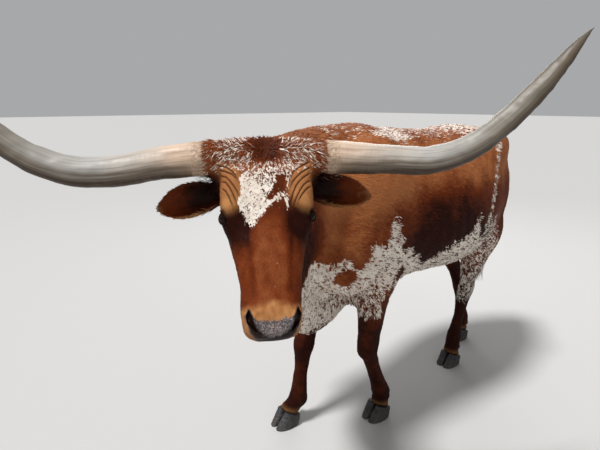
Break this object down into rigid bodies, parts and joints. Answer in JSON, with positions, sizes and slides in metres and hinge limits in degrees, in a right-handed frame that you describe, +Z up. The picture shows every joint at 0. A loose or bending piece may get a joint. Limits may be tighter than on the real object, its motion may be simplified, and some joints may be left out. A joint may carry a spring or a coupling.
{
  "type": "texas longhorn steer",
  "caption": "Life-size standing longhorn steer with long upswept horns, red and white roan coat, head turned to its left, set on its hooves.",
  "frame": {"origin": "on the floor, below the middle of the whole animal's box", "axes": "+Z up, -Y the way the body faces, +X the animal's left side; the head is turned to the left by about 59 degrees"},
  "size_m": [1.223, 2.7016, 1.6914],
  "materials": {
    "coat": "short glossy red-brown hair with white roan patches",
    "switch_hair": "long coarse hair, brown with pale strands",
    "horn": "satin horn, cream at the base, grey in the middle, dark at the tip",
    "claw": "satin blue-black horn",
    "eye": "wet gloss, dark brown"
  },
  "bodies": {
    "root": {"head": "coat", "neck": "coat", "torso": "coat", "tail": "coat", "foreleg_left": "coat", "foreleg_right": "coat", "hindleg_left": "coat", "hindleg_right": "coat", "ear_left": "coat", "ear_right": "coat", "tail_switch": "switch_hair", "horn_left": "horn", "horn_right": "horn", "eye_left": "eye", "eye_right": "eye", "claw_foreleg_left_left": "claw", "claw_foreleg_left_right": "claw", "claw_foreleg_right_left": "claw", "claw_foreleg_right_right": "claw", "claw_hindleg_left_left": "claw", "claw_hindleg_left_right": "claw", "claw_hindleg_right_left": "claw", "claw_hindleg_right_right": "claw"}
  },
  "joints": []
}
